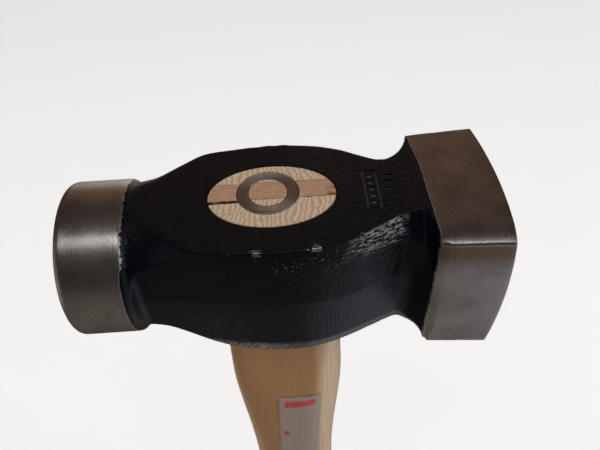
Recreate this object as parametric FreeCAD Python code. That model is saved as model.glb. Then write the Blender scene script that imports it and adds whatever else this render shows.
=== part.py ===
"""Two-faced forging hammer with a round face, a square face and an oval ash handle.

Row frame, millimetres: the origin is the middle of the grip on the handle's axis, +Z runs
up the handle to the head, +X points to the square face, and Y is across the head.
Head dimensions are taken from the flat top of the head, the plateau: x from the middle of
the eye, drops downwards from the plateau.
"""

import FreeCAD, Part

import math
import os

from FreeCAD import Vector

# ---------------------------------------------------------------- driving dimensions
OVERALL_LENGTH = 360.0
HEAD_TOP = 260.0  # the plateau, above the middle of the grip
BUTT = HEAD_TOP - OVERALL_LENGTH
HEAD_HEIGHT = 39.4

# Round face.
ROUND_RADIUS = 20.5
ROUND_AXIS_DROP = 18.5
ROUND_FACE_X = -52.9
RIM_ROUNDING = 1.4
ROUND_DOME = 1.0
COLLAR_END_X = -36.3

# Square face.
SHOULDER_X = 38.2
BLOCK_CORNER_X = 54.9
BLOCK_HALF_AT_SHOULDER = 19.85
BLOCK_HALF_AT_FACE = 20.9
BLOCK_RISE_AT_SHOULDER = 0.8
BLOCK_RISE_AT_FACE = 1.0
BLOCK_SINK_AT_SHOULDER = -0.2
BLOCK_SINK_AT_FACE = 0.2
CROWN_RADIUS = 136.0

# Half-width of the body's side walls along the head: (x, half-width).
WALL = [
    (-33.2, 16.0),
    (-25.4, 16.7),
    (-17.6, 17.9),
    (-7.8, 19.5),
    (2.9, 20.4),
    (11.7, 19.7),
    (19.5, 17.7),
    (26.3, 14.8),
]
# Half-width of the plateau, where the steep top bevels start: (x, half-width).
PLATEAU = [
    (-22.0, 18.0),
    (-14.4, 18.1),
    (-6.4, 19.1),
    (0.3, 19.5),
    (7.5, 19.2),
    (14.0, 18.1),
    (19.0, 16.3),
    (22.9, 14.0),
]
# Where the wall and the bevel end at the neck, and where the block starts: the front is
# tighter than the back.
FRONT = {"wall_end": (31.7, 12.5), "bevel_end": (31.1, 9.2), "bevel_turn": 35.5, "shoulder": 38.2}
BACK = {"wall_end": (28.8, 13.9), "bevel_end": (28.0, 11.3), "bevel_turn": 28.6, "shoulder": 37.2}
TOP_BEVEL_RUN = 0.5  # outwards per unit of drop
TOP_BEVEL_CLEARANCE = 1.5  # how far past the block's side the bevel turns out
# Radius of the round neck that opens into the body: (x, radius).
NECK = [
    (-34.1, 18.8),
    (-29.7, 19.7),
    (-24.2, 22.2),
    (-19.1, 24.7),
    (-13.5, 26.8),
    (-6.0, 28.6),
]
BOTTOM_BEVEL_DROP = 34.8
BOTTOM_BEVEL_RUN = 0.42  # inwards per unit of drop
BOTTOM_BEVEL_SWELL = 1.2  # how much further out the bevel sits in the middle of the body
BOTTOM_BEVEL_CLEARANCE = 2.2
# The flat top and underside run between these, and ramp off towards the collar.
FLAT_START_X = -33.5
FLAT_END_X = 31.0
FLAT_RAMP = 3.0
COLLAR_OVERLAP = 0.4  # the body's outlines run this far over the collar's end

# Eye: (drop, half-length along X, half-width along Y).
EYE = [
    (0.0, 16.0, 11.0),
    (20.0, 14.8, 9.9),
    (HEAD_HEIGHT, 15.6, 10.7),
]
EYE_OVERRUN = 0.5  # the cut runs out of the head at both ends

# Wedges.
WOOD_WEDGE_THICKNESS = 6.0
WOOD_WEDGE_TIP = 1.0
WOOD_WEDGE_DEPTH = 28.0
WOOD_WEDGE_Y = 1.7
RING_X = -1.0
RING_Y = 1.0
RING_OUTER = 7.8
RING_INNER = 4.9
RING_DEPTH = 18.0
RING_EDGE = 0.6  # wall left at the sharpened lower edge

# Handle below the head: (drop, width along X, depth along Y, corner exponent).
HANDLE = [
    (HEAD_HEIGHT, 33.0, 23.6, 3.4),
    (52.0, 35.4, 24.6, 3.2),
    (66.0, 36.6, 25.0, 3.0),
    (80.0, 36.9, 24.8, 2.8),
    (95.0, 35.2, 23.8, 2.6),
    (112.0, 32.8, 22.4, 2.4),
    (136.0, 30.7, 21.2, 2.3),
    (165.0, 31.4, 21.6, 2.3),
    (205.0, 33.6, 23.2, 2.3),
    (255.0, 35.6, 25.0, 2.3),
    (300.0, 36.4, 25.8, 2.3),
    (335.0, 38.2, 27.2, 2.3),
    (OVERALL_LENGTH, 40.0, 28.8, 2.3),
]
BUTT_ROUNDING = 4.0
SECTION_POINTS = 24

# Label on the front of the handle.
LABEL_THICKNESS = 0.15
LABEL_WIDTH = 14.5
LABEL_LENGTH = 60.0
LABEL_TOP_DROP = 80.0
LABEL_X = 3.6
LABEL_TILT = -2.0  # degrees about Y

FREE = 45.0  # reach of the outlines beyond the head, where they don't cut it
FREE_HALF = 30.0  # half-width where an outline doesn't cut the block


# ---------------------------------------------------------------- helpers
def at_head(x, y, drop):
    """A point given from the plateau's middle, in the row frame."""
    return Vector(x, y, HEAD_TOP - drop)


def spline(points):
    curve = Part.BSplineCurve()
    curve.interpolate(points)
    return curve.toShape()


def polyline(points):
    return [Part.makeLine(a, b) for a, b in zip(points, points[1:])]


def arc(start, middle, end):
    return Part.Arc(start, middle, end).toShape()


def hollow_arc(low, high):
    """Hollow quarter-like arc that leaves low along X and turns out to high."""
    share = 1 - math.sqrt(0.5)
    middle = Vector(
        high.x + (low.x - high.x) * share,
        low.y + (high.y - low.y) * share,
        low.z + (high.z - low.z) * share,
    )
    return arc(low, middle, high)


def face_of(edges):
    return Part.Face(Part.Wire(Part.__sortEdges__(edges)))


def prism(outline, push):
    """Solid behind the plan curve in outline, whose wall leans along push."""
    first = outline[0].Vertexes[0].Point
    last = outline[-1].Vertexes[-1].Point
    corners = [last, Vector(last.x, 2 * FREE, last.z), Vector(first.x, 2 * FREE, first.z), first]
    return face_of(outline + polyline(corners)).extrude(push)


def between(front, back, push):
    """Solid between a front wall and a back wall, both given as front plan curves."""
    return prism(front, push).common(flipped(prism(back, push)))


def flipped(solid):
    return solid.mirror(Vector(0, 0, 0), Vector(0, 1, 0))


# ---------------------------------------------------------------- head
def wall_edge(side):
    """Plan curve of a side wall, hollowed into the collar and out to the square block."""
    z = HEAD_TOP + FREE / 2
    wall = [Vector(x, -half, z) for x, half in WALL + [side["wall_end"]]]
    left = [
        Vector(ROUND_FACE_X - FREE, -FREE_HALF, z),
        Vector(COLLAR_END_X - COLLAR_OVERLAP, -FREE_HALF, z),
        Vector(COLLAR_END_X - COLLAR_OVERLAP, -ROUND_RADIUS, z),
        wall[0],
    ]
    shoulder = Vector(side["shoulder"], -BLOCK_HALF_AT_SHOULDER, z)
    flare = (BLOCK_HALF_AT_FACE - BLOCK_HALF_AT_SHOULDER) / (BLOCK_CORNER_X - SHOULDER_X)
    end = Vector(shoulder.x + FREE, shoulder.y - FREE * flare, z)
    return polyline(left) + [spline(wall), hollow_arc(wall[-1], shoulder)] + polyline([shoulder, end])


def side_walls():
    return between(wall_edge(FRONT), wall_edge(BACK), Vector(0, 0, -HEAD_HEIGHT - FREE))


def top_bevel_edge(side):
    """Plan curve of the plateau's edge, out past the block's corner."""
    edge = [Vector(x, -half, HEAD_TOP) for x, half in PLATEAU + [side["bevel_end"]]]
    turn = Vector(side["bevel_turn"], edge[-1].y, HEAD_TOP)
    shoulder = Vector(side["shoulder"], -BLOCK_HALF_AT_SHOULDER - TOP_BEVEL_CLEARANCE, HEAD_TOP)
    left = [Vector(x, -FREE_HALF, HEAD_TOP) for x in (ROUND_FACE_X - FREE, COLLAR_END_X)]
    right = [Vector(x, -FREE_HALF, HEAD_TOP) for x in (shoulder.x, BLOCK_CORNER_X + FREE)]
    curve = polyline(left + edge[:1]) + [spline(edge)] + polyline([edge[-1], turn])
    return curve + [hollow_arc(turn, shoulder)] + polyline([shoulder] + right)


def top_bevels():
    """Steep bevels from the plateau's edge down to the walls."""
    rise = FREE / 2
    above = Vector(0, rise * TOP_BEVEL_RUN, rise)
    front, back = ([e.translated(above) for e in top_bevel_edge(side)] for side in (FRONT, BACK))
    fall = rise + FREE
    return between(front, back, Vector(0, -fall * TOP_BEVEL_RUN, -fall))


def bottom_bevel_edge(side):
    """Plan curve of the bevel above the underside, furthest out in the middle of the body."""
    z = HEAD_TOP - BOTTOM_BEVEL_DROP
    middle = WALL[len(WALL) // 2][0]
    reach = side["wall_end"][0] - middle
    edge = []
    for x, half in WALL + [side["wall_end"]]:
        swell = BOTTOM_BEVEL_SWELL * max(0.0, 1 - ((x - middle) / reach) ** 2)
        edge.append(Vector(x, -half - swell, z))
    shoulder = Vector(side["shoulder"], -BLOCK_HALF_AT_SHOULDER - BOTTOM_BEVEL_CLEARANCE, z)
    left = [Vector(x, -FREE_HALF, z) for x in (ROUND_FACE_X - FREE, COLLAR_END_X - COLLAR_OVERLAP)]
    right = [Vector(x, -FREE_HALF, z) for x in (shoulder.x, BLOCK_CORNER_X + FREE)]
    curve = polyline(left + edge[:1]) + [spline(edge), hollow_arc(edge[-1], shoulder)]
    return curve + polyline([shoulder] + right)


def bottom_bevels():
    """Steep bevels along the lower edges of the walls."""
    rise = BOTTOM_BEVEL_DROP + FREE / 2
    above = Vector(0, -rise * BOTTOM_BEVEL_RUN, rise)
    front, back = ([e.translated(above) for e in bottom_bevel_edge(side)] for side in (FRONT, BACK))
    fall = rise + FREE
    return between(front, back, Vector(0, fall * BOTTOM_BEVEL_RUN, -fall))


def elevation():
    """Side view of the head: flat top and bottom, and the block standing a little proud."""
    top = HEAD_TOP
    low = HEAD_TOP - HEAD_HEIGHT
    x_end = BLOCK_CORNER_X + FREE
    per_mm = 1.0 / (BLOCK_CORNER_X - SHOULDER_X)
    rise_end = BLOCK_RISE_AT_FACE + (BLOCK_RISE_AT_FACE - BLOCK_RISE_AT_SHOULDER) * FREE * per_mm
    sink_end = BLOCK_SINK_AT_FACE + (BLOCK_SINK_AT_FACE - BLOCK_SINK_AT_SHOULDER) * FREE * per_mm
    collar = COLLAR_END_X - COLLAR_OVERLAP
    points = [
        (ROUND_FACE_X - FREE, top + FREE_HALF),
        (collar, top + FREE_HALF),
        (collar, top + FLAT_RAMP),
        (FLAT_START_X, top),
        (FLAT_END_X, top),
        (SHOULDER_X, top + BLOCK_RISE_AT_SHOULDER),
        (x_end, top + rise_end),
        (x_end, low - sink_end),
        (SHOULDER_X, low - BLOCK_SINK_AT_SHOULDER),
        (FLAT_END_X, low),
        (FLAT_START_X, low),
        (collar, low - FLAT_RAMP),
        (collar, low - FREE_HALF),
        (ROUND_FACE_X - FREE, low - FREE_HALF),
    ]
    loop = [Vector(x, -FREE, z) for x, z in points]
    face = face_of(polyline(loop + loop[:1]))
    return face.extrude(Vector(0, 2 * FREE, 0))


def round_end():
    """Turned round face, its collar and the round neck, opening out round the body."""
    def point(x, radius):
        return Vector(x, 0, HEAD_TOP - ROUND_AXIS_DROP + radius)

    rim = RIM_ROUNDING * (1 - math.sqrt(0.5))
    centre = point(ROUND_FACE_X - ROUND_DOME, 0)
    face_edge = point(ROUND_FACE_X, ROUND_RADIUS - RIM_ROUNDING)
    half_way = ROUND_RADIUS / 2
    dome_middle = point(ROUND_FACE_X - ROUND_DOME * (1 - (half_way / ROUND_RADIUS) ** 2), half_way)
    rim_middle = point(ROUND_FACE_X + rim, ROUND_RADIUS - rim)
    wall_start = point(ROUND_FACE_X + RIM_ROUNDING, ROUND_RADIUS)
    collar = point(COLLAR_END_X, ROUND_RADIUS)
    neck = [point(x, radius) for x, radius in NECK]
    far = point(BLOCK_CORNER_X + FREE, FREE)
    edges = [arc(centre, dome_middle, face_edge), arc(face_edge, rim_middle, wall_start)]
    edges += polyline([wall_start, collar])
    edges += [hollow_arc(neck[0], collar), spline(neck)]
    edges += polyline([neck[-1], point(0, FREE), far, point(far.x, 0), centre])
    return face_of(edges).revolve(point(0, 0), Vector(1, 0, 0), 360)


def crown():
    """Ball that rounds the square face, with its blunt corners."""
    corner = math.hypot(BLOCK_HALF_AT_FACE, HEAD_HEIGHT / 2)
    middle_x = BLOCK_CORNER_X - math.sqrt(CROWN_RADIUS**2 - corner**2)
    return Part.makeSphere(CROWN_RADIUS, Vector(middle_x, 0, HEAD_TOP - HEAD_HEIGHT / 2))


def eye(extra=0.0):
    """Oval eye, narrowest in the middle of the head, and longer by extra at both ends."""
    wires = []
    for drop, half_x, half_y in EYE:
        if drop == 0.0:
            drop -= extra
        if drop == HEAD_HEIGHT:
            drop += extra
        ellipse = Part.Ellipse(at_head(0, 0, drop), half_x, half_y)
        wires.append(Part.Wire(ellipse.toShape()))
    return Part.makeLoft(wires, True, False)


def hammer_head():
    head = round_end()
    for limit in (elevation(), side_walls(), top_bevels(), bottom_bevels(), crown()):
        head = head.common(limit)
    head = head.cut(eye(extra=EYE_OVERRUN))
    return head.removeSplitter()


# ---------------------------------------------------------------- handle and wedges
def section(drop, width, depth, exponent, grow=0.0):
    """Oval section of the handle; a larger exponent makes it squarer."""
    points = []
    for i in range(SECTION_POINTS):
        a = 2 * math.pi * i / SECTION_POINTS
        c, s = math.cos(a), math.sin(a)
        along = abs(c / (width / 2 + grow)) ** exponent
        across = abs(s / (depth / 2 + grow)) ** exponent
        reach = (along + across) ** (-1 / exponent)
        points.append(at_head(reach * c, reach * s, drop))
    curve = Part.BSplineCurve()
    curve.interpolate(points, PeriodicFlag=True)
    return Part.Wire(curve.toShape())


def shaft(grow=0.0):
    blank = Part.makeLoft([section(*row, grow) for row in HANDLE], True, False)
    butt_edge = [e for e in blank.Edges if e.BoundBox.ZMax < BUTT + BUTT_ROUNDING / 2]
    return blank.makeFillet(BUTT_ROUNDING, butt_edge)


def wood_wedge_blank():
    half = WOOD_WEDGE_THICKNESS / 2
    tip = WOOD_WEDGE_TIP / 2
    outline = [
        at_head(-FREE, WOOD_WEDGE_Y - half, 0),
        at_head(-FREE, WOOD_WEDGE_Y + half, 0),
        at_head(-FREE, WOOD_WEDGE_Y + tip, WOOD_WEDGE_DEPTH),
        at_head(-FREE, WOOD_WEDGE_Y - tip, WOOD_WEDGE_DEPTH),
    ]
    face = face_of(polyline(outline + outline[:1]))
    return face.extrude(Vector(2 * FREE, 0, 0))


def ring_wedge():
    outline = [
        at_head(RING_INNER, 0, 0),
        at_head(RING_OUTER, 0, 0),
        at_head(RING_OUTER, 0, RING_DEPTH),
        at_head(RING_OUTER - RING_EDGE, 0, RING_DEPTH),
    ]
    ring = face_of(polyline(outline + outline[:1])).revolve(Vector(0, 0, 0), Vector(0, 0, 1), 360)
    ring.translate(Vector(RING_X, RING_Y, 0))
    return ring


def handle(ring):
    tenon = eye()
    return shaft().fuse(tenon).cut(wood_wedge_blank()).cut(ring).removeSplitter()


def wooden_wedge(ring):
    return wood_wedge_blank().common(eye()).cut(ring)


def handle_label():
    sheet = Part.makeBox(LABEL_WIDTH, FREE, LABEL_LENGTH)
    sheet.translate(Vector(-LABEL_WIDTH / 2, -FREE, -LABEL_LENGTH))
    sheet.rotate(Vector(0, 0, 0), Vector(0, 1, 0), -LABEL_TILT)
    sheet.translate(at_head(LABEL_X, 0, LABEL_TOP_DROP))
    return shaft(LABEL_THICKNESS).common(sheet).cut(shaft())


# ---------------------------------------------------------------- output
def main():
    os.makedirs("parts", exist_ok=True)
    ring = ring_wedge()
    nodes = {
        "hammer_head": hammer_head(),
        "handle": handle(ring),
        "wooden_wedge": wooden_wedge(ring),
        "ring_wedge": ring,
        "handle_label": handle_label(),
    }
    for name, shape in nodes.items():
        box = shape.BoundBox
        print(
            f"{name}: valid {shape.isValid()}, solids {len(shape.Solids)}, "
            f"{shape.Volume / 1000:.2f} cm3, x {box.XMin:.1f}..{box.XMax:.1f}, "
            f"y {box.YMin:.1f}..{box.YMax:.1f}, z {box.ZMin:.1f}..{box.ZMax:.1f}"
        )
        shape.exportStep(f"parts/{name}.step")


main()
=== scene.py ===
"""Forging hammer: black lacquered head with bright ground ends, ash handle, wedges and label.

The shapes are worked out in millimetres from the middle of the head's flat top, the plateau: x along
the head to the square face, y across it to the back, and up. A drop is a distance below the plateau.
The head's section at each x is given round the round end's axis, by the angle from straight up.
"""

import math

import bpy
import numpy as np
from mathutils import Matrix, Vector, noise


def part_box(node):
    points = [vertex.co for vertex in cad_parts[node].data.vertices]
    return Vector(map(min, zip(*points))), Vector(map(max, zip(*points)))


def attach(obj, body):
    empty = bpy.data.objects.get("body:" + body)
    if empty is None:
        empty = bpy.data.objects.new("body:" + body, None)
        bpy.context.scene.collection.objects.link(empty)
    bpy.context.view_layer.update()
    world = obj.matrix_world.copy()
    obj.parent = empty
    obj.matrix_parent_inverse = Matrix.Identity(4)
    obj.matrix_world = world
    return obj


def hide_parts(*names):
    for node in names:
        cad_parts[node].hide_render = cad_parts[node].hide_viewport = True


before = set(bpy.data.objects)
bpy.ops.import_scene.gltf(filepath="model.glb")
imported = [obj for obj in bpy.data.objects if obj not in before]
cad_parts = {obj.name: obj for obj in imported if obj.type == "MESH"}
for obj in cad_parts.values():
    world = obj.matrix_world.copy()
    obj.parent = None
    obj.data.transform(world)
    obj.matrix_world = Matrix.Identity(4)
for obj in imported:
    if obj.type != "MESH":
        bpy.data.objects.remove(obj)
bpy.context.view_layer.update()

MM = 0.001
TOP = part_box("handle")[1].z / MM  # the plateau, flush with the end of the tenon
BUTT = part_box("handle")[0].z / MM

# Head: the round end.
AXIS_DROP = 18.5
HEAD_HEIGHT = 39.4
ROUND_RADIUS = 20.38
ROUND_FACE_X = -52.6
RIM_ROUNDING = 1.8
ROUND_DOME = 0.95
COLLAR_END_X = -36.3

# Head: the block at the square end. It grows a little towards its face.
SHOULDER_X = 38.2
BLOCK_HALF = 19.86
BLOCK_SPREAD = 0.063  # for each millimetre beyond the shoulder
BLOCK_TOP_RISE = 0.012
BLOCK_BOTTOM_FALL = 0.015
BLOCK_CORNER_X = 54.87
BLOCK_EDGE_ROUNDING = 0.3
CROWN_RADIUS = 136.0
EDGE_BEVELS = ((10, 4.0), (21, 3.1), (32, 2.3))  # (tilt in degrees, width) along its top front edge

# Head: the body between them.
FREE = 60.0  # a limit this far out doesn't cut
BODY_SHARPNESS = 110.0  # the larger, the crisper the ridges
BLOCK_SHARPNESS = 160.0
SHARPER_BEFORE = 0.5  # the block's sharpness starts this far before its shoulder
FULL_RIDGE = 22.5  # a ridge counts as 1 when its sides turn by twice this many degrees
BEVEL_DROP = 5.5  # the bevels under the plateau reach the walls this far down
BEVEL_RUN = (0.12, 0.6)  # the least and the most that they go out for each millimetre down
BEVEL_REACH = 1.5  # at the block's shoulder they have turned out to this far beyond its side
LOW_BEVEL_RUN = 0.42  # the bevels above the underside go out this much for each millimetre up
LOW_BEVEL_DROP = 16.3  # they meet the walls this far below the axis
LOW_BEVEL_SWELL = 1.2  # they are this much further out in the middle of the body
LOW_BEVEL_TURN = 8.0  # and turn out this far at the block's shoulder
BELLY_REACH = (6.0, 26.0)  # how far from its middle a swelling starts to fade, and where it ends
BACK_BELLY_X = -8.0  # the middle of the back wall's swelling
LOW_BELLY_X = -3.0  # and of the one below the axis
BACK_SWELL = 0.65
NECK_SWELL = 0.8  # the round end's neck is this much fuller at its top
NECK_WALL_HOLLOW = 9.0  # its sides open this far to the collar, until the round limit cuts them
NECK_TOP_HOLLOW = 4.0  # and its top and bottom this far
NECK_TOP_X = -32.6  # where that hollow starts
TOP_RISE = (0.8, 29.0)  # how much the top rises to the block, and from which x
BOTTOM_RISE = (0.2, 31.0)  # and the same of the underside
UPPER_LEAN = 0.012  # the walls lean in by this much for each millimetre up
LOWER_LEAN = (0.055, 0.045)  # and down: at the ends, and how much less in the middle

# Curves along the head: (x, half-width or radius).
WALL = [
    (-33.2, 16.0), (-25.4, 16.7), (-17.6, 17.9), (-7.8, 19.5),
    (2.9, 20.4), (11.7, 19.7), (19.5, 17.7), (26.3, 14.8),
]
PLATEAU = [
    (-24.0, 19.0), (-14.4, 18.3), (-6.4, 19.1), (0.3, 19.5),
    (7.5, 19.2), (14.0, 18.1), (19.0, 16.3), (22.9, 14.0),
]
NECK = [
    (-34.1, 18.8), (-29.7, 19.7), (-24.2, 22.2), (-19.1, 24.7),
    (-13.5, 26.8), (-6.0, 29.0), (4.0, 32.0),
]
# Where the side wall and the plateau's bevel end at the neck, where the bevel turns out, and
# where the block starts. The front is tighter than the back.
FRONT = {"wall_end": (31.7, 12.5), "bevel_end": (31.1, 9.2), "bevel_turn": 35.5, "shoulder": 38.2}
BACK = {"wall_end": (28.8, 13.9), "bevel_end": (28.0, 11.3), "bevel_turn": 28.6, "shoulder": 36.5}
PARTING_DROP = 18.5  # rough forged skin above this, dressed smooth below

# The black body's skin: how far it stands off, in millimetres, and where.
ROUND_PAINT_X = -36.4
BLOCK_PAINT_X = 38.2
SKIN_NOISES = (7.0, 2.4, 1.1)  # the sizes of its swells, dents and grit
SWELL_DEPTH = 0.11
DENT_DEPTH = 0.06
GRIT_DEPTH = 0.05
SMOOTH_SHARE = 0.75  # how much smoother it is on the plateau and below the parting
COLLAR_GRIT = (1.2, 1.4, 2.5)  # (distance from the collar, spread, how much rougher)
TORN_RIDGE = (27.0, 7.0, 0.1)  # (x, spread, depth) of the dents in the ridges beside the block
TORN_FACET = (25.0, 5.0, 0.16)  # and in the bevels under the plateau there
BURRS = (1.0, 9.0, 0.2)  # and in the back ridges by the eye

# How finely the shapes are divided, and from how many degrees an edge stays sharp.
METAL_CREASE = 40
WOOD_CREASE = 35
AT_SHOULDER = 0.001  # a hair off the shoulder, where the section jumps
MOST_CHANGE = 0.2  # a jump in the radius counts as this much, so that it draws few stations
ANGLES = 336
BODY_STATIONS = 190
RIDGE_ANGLES = ((43, 12, 1.8), (134, 10, 1.6))  # (degrees from the top, spread, how much denser)
FACE_MIDDLE = 0.06  # the innermost ring of a face, as a share of the outermost
FACE_RINGS = 14
RIM_RINGS = 10
EDGE_RINGS = 7
BLOCK_RINGS = 15
SOFTENING_PASSES = 2
TRIED_ANGLES = 4001  # how many are tried to find where the angles belong, and then the stations
TRIED_STATIONS = 3000
TRIED_EVERY = 12  # the stations are tried on one angle in so many
EYE_SIDES = 160
RING_SIDES = 128
DOT_SIDES = 12

# Eye and wedges.
EYE_X = 16.0
EYE_Y = 11.0
EYE = [(42.0, -0.25), (20.0, -1.15), (0.35, 0.06), (-0.4, 0.7), (-3.0, 3.3)]  # (drop, how much wider)
WEDGE_Y = 1.7
WEDGE_HALF = 3.2
WEDGE_TIP = 0.5
WEDGE_DEPTH = 28.0
WEDGE_END = 18.0  # half of its length before it is trimmed to the eye
WEDGE_STATIONS = 73
WEDGE_WAVER = 0.22  # how far its sides waver, in waves of about this length
WEDGE_WAVES = 4.0
WEDGE_PLUG = [(HEAD_HEIGHT, 15.5, 10.6), (20.0, 14.8, 9.9), (0.08, EYE_X - 0.02, EYE_Y - 0.02)]
WEDGE_GAP = 0.07  # between it and the tenon
CRACK = (-12.0, 4.0, 7.0, 12)  # where the gap opens: its middle, how far it is full and ends, times the gap
SMALL_CRACKS = (6.0, 8.0, 5)  # and at the right, where the wedge wavers: from x to x, times the gap
CUT_ABOVE = 1.0  # the cutters at the plateau reach this far above it
RING_AT = (-1.0, 1.0)
RING_OUTER = 7.8
RING_INNER = 4.9
RING_DEPTH = 18.0
RING_POINT = 0.4  # how much each side of its lower end is drawn in
RING_GAPS = {"inside": 0.1, "outside": 0.14, "below": 0.1}
RING_CROWN = (0.5, 7)  # how far its top's edges are rounded down, and the power of the curve
RING_STANDS = 0.08  # above the plateau, before the grooves are cut
RING_GROOVES = ((0.05, 5), (0.03, 13))  # (half depth, count across the top)
RING_PLACES = 41

# The stamped mark.
MARK_X = 24.9
MARK_BAR_X = 29.5
MARK_DEPTH = 0.5
MARK_PITCH = 2.4
MARK_COUNT = 5  # of the dots, and of the bars
DOT_RADIUS = 0.75
BAR_HALVES = (1.2, 0.35)
MARK_FRAME = ((1.85, 7.2, 0.7), (1.4, 6.75, 0.55))  # (half x, half y, corner) outside and inside

# Handle: (drop, half width, half depth before the flats, corner exponent).
HANDLE = [
    (HEAD_HEIGHT, 16.3, 16.5, 2.5), (52.0, 17.3, 16.0, 2.5), (66.0, 17.9, 14.2, 2.4),
    (80.0, 18.2, 12.6, 2.3), (95.0, 17.5, 11.9, 2.25), (112.0, 16.4, 11.2, 2.2),
    (136.0, 15.35, 10.6, 2.2), (165.0, 15.7, 10.8, 2.2), (205.0, 16.8, 11.6, 2.2),
    (255.0, 17.8, 12.5, 2.2), (300.0, 18.2, 12.9, 2.2), (335.0, 19.1, 13.6, 2.2),
    (360.0, 19.9, 14.3, 2.2),
]
TENON = [  # (drop, half x, half y), from the shoulder up
    (HEAD_HEIGHT, 15.55, 10.65), (20.0, 14.75, 9.85), (1.0, 15.93, 10.93),
    (0.15, 16.0, 11.0), (0.0, 15.9, 10.9),
]
FLAT_DEPTH = 12.1
FLAT_FADE = (3.0, 130.0, 200.0)  # the flats end by moving this far out between these drops
FLAT_SHARPNESS = 40
BUTT_ROUNDING = 4.0
BUTT_RINGS = 8
UNDER_HEAD = 0.05  # the handle's own surface starts this far under the head
HANDLE_RINGS = 180
HANDLE_AROUND = 160

# Label.
LABEL_WIDTH = 14.5
LABEL_LENGTH = 60.0
LABEL_TOP_DROP = 80.0
LABEL_X = 3.6
LABEL_TILT = -2.0  # in degrees
LABEL_LIFT = 0.12  # how far it stands off the handle, and its thickness
LABEL_GRID = (25, 61)  # points across and along it

# Camera, in degrees and millimetres.
CAMERA_YAW = 1.19
CAMERA_PITCH = 45.44
CAMERA_ROLL = -2.83
CAMERA_LENS = 34.90
CAMERA_SENSOR = 36.0
CAMERA_CLIP = 0.005  # in metres
CAMERA_AT = (4.39, -106.97, 97.36)  # from the middle of the plateau

# The backdrop, in millimetres, and how bright it is by itself.
FLOOR_RADIUS = 4000.0
FLOOR_SIDES = 96
FLOOR_GLOW = 0.45
WALL_TOP = 8000.0  # from the frame's origin
WALL_GLOW = 0.75

# The room that the head reflects: (toward, spread in degrees, colour).
ROOM = (0.062, 0.046, 0.040, 1)
GLOWS = [
    ((0.0, -0.6, -0.8), 62, (0.15, 0.13, 0.115)),
    ((0.0, -0.92, 0.38), 30, (0.030, 0.034, 0.042)),
    ((0.8, -0.25, -0.6), 50, (0.46, 0.46, 0.52)),
    ((0.0, 0.9, 0.42), 32, (0.21, 0.12, 0.08)),
    ((0.85, -0.35, 0.5), 28, (1.1, 1.1, 1.15)),
    ((0.0, 1.0, -0.15), 32, (0.72, 0.63, 0.56)),
    ((-0.95, -0.25, -0.15), 40, (0.30, 0.29, 0.28)),
]
KEY = ("key", (-0.05, -0.40, 1.25), (0.9, 0.18), 1.3)  # (name, place, size, power)
FILLS = [  # and the same of the lights that the surfaces don't reflect
    ("fill", (0.0, -0.2, 1.7), (1.8, 1.8), 10.5),
    ("right_fill", (2.2, -0.6, 0.9), (1.2, 1.2), 17.0),
    ("left_fill", (-2.2, -0.2, 0.9), (1.2, 1.2), 10.0),
]


# ---- curves
def through(points):
    """A smooth function through (x, value) points, by cubic pieces."""
    xs, ys = (np.array(c, float) for c in zip(*points))
    gaps = np.diff(xs)
    slopes = np.diff(ys) / gaps
    inner = (slopes[:-1] * gaps[1:] + slopes[1:] * gaps[:-1]) / (gaps[1:] + gaps[:-1])
    tangents = np.concatenate([[slopes[0]], inner, [slopes[-1]]])

    def value(x):
        x = np.asarray(x, float)
        i = np.clip(np.searchsorted(xs, x) - 1, 0, len(gaps) - 1)
        t = np.clip((x - xs[i]) / gaps[i], 0, 1)
        start, end = tangents[i] * gaps[i], tangents[i + 1] * gaps[i]
        rest = 1 - t
        near = (ys[i] * (1 + 2 * t) + start * t) * rest**2
        far = (ys[i + 1] * (1 + 2 * rest) - end * rest) * t**2
        return near + far

    return value


def hollow(x, start, end):
    """0 before start, then a quarter circle that turns up to 1 at end."""
    t = np.clip((x - start) / (end - start), 0, 1)
    return 1 - np.sqrt(1 - t * t)


def ease(x, start, end):
    """0 before start, 1 after end, and smooth between them."""
    t = np.clip((x - start) / (end - start), 0, 1)
    return t * t * (3 - 2 * t)


def bell(x, middle, spread):
    """1 at middle, and fading to 0 on both sides of it."""
    return np.exp(-(((x - middle) / spread) ** 2))


neck_curve = through(NECK)
for side, swell in ((FRONT, 0.0), (BACK, BACK_SWELL)):
    side["swell"] = swell
    side["wall"] = through(WALL + [side["wall_end"]])
    side["plateau"] = through(PLATEAU + [side["bevel_end"]])


# ---- head section
def block_half(x):
    """Half-width of the block."""
    return BLOCK_HALF + BLOCK_SPREAD * (x - SHOULDER_X)


def belly(x, middle):
    """1 in the middle of the body, 0 at its ends."""
    return 1 - ease(np.abs(x - middle), *BELLY_REACH)


def wall_half(x, side):
    """Half-width of a side wall at mid height."""
    start, end = WALL[0], side["wall_end"]
    shoulder = side["shoulder"]
    half = side["wall"](x) + side["swell"] * belly(x, BACK_BELLY_X)
    half = half + (block_half(shoulder) - end[1]) * hollow(x, end[0], shoulder)
    half = np.where(x < start[0], start[1] + NECK_WALL_HOLLOW * hollow(-x, -start[0], -COLLAR_END_X), half)
    half = np.where(x < COLLAR_END_X, FREE, half)
    return np.where(x >= shoulder, block_half(x), half)


def plateau_half(x, side):
    """Half-width of the plateau, where a steep bevel starts."""
    reach = block_half(side["shoulder"]) + BEVEL_REACH - side["bevel_end"][1]
    half = side["plateau"](x) + side["swell"] * belly(x, BACK_BELLY_X)
    half = half + reach * hollow(x, side["bevel_turn"], side["shoulder"])
    return np.where((x < PLATEAU[0][0]) | (x >= side["shoulder"]), FREE, half)


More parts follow.
